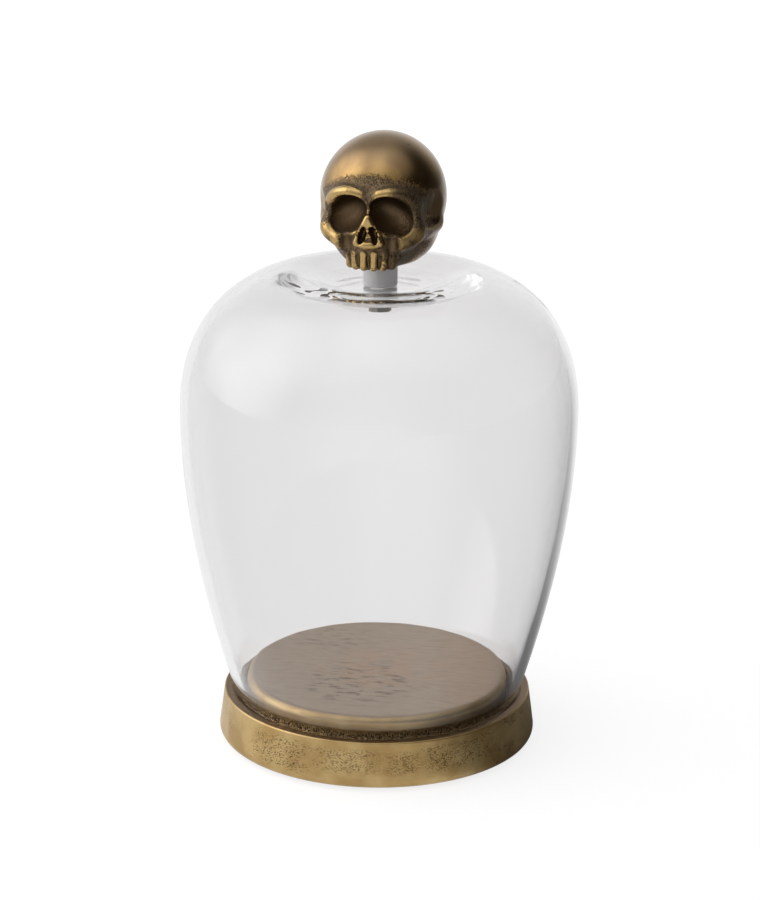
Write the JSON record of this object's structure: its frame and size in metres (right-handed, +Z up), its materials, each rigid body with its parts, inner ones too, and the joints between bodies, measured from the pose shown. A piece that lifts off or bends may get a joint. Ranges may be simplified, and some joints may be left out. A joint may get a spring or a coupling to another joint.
{
  "type": "display cloche",
  "caption": "Clear glass display bell with a dished crown, standing in the groove of a round cast base and lifted by a cast skull finial held by a nut.",
  "frame": {"origin": "middle of the underside, where the felt rests on a surface", "axes": "+Z up along the axis of the bell, -Y the way the skull faces, +X to the right of someone facing the skull"},
  "size_m": [0.1994, 0.1994, 0.3126],
  "materials": {
    "aged_brass": "cast, aged and hand polished",
    "clear_glass": "clear, blown",
    "silicone": "translucent, satin",
    "nylon": "natural",
    "steel": "dull",
    "felt": "pressed felt"
  },
  "bodies": {
    "base": {"base_casting": "aged_brass", "felt_pad": "felt"},
    "dome": {"glass_dome": "clear_glass", "hole_bush": "nylon", "spacer_sleeve": "silicone"},
    "finial": {"skull_finial": "aged_brass", "threaded_stud": "steel"},
    "nut": {"lower_washer": "silicone", "hex_nut": "steel"}
  },
  "joints": [
    {"name": "dome_lift", "type": "slide", "parent": "base", "child": "dome", "axis": [0, 0, 1], "range_m": [0, 0.22]},
    {"name": "finial_turn", "type": "hinge", "parent": "dome", "child": "finial", "pos_m": [0, 0, 0.2502], "axis": [0, 0, 1], "range_deg": [0, 1800]},
    {"name": "nut_drop", "type": "slide", "parent": "dome", "child": "nut", "axis": [0, 0, -1], "range_m": [0, 0.005]}
  ],
  "couplings": [
    {"joint": "nut_drop", "follows": "finial_turn", "m_per_rad": 0.00015915}
  ]
}
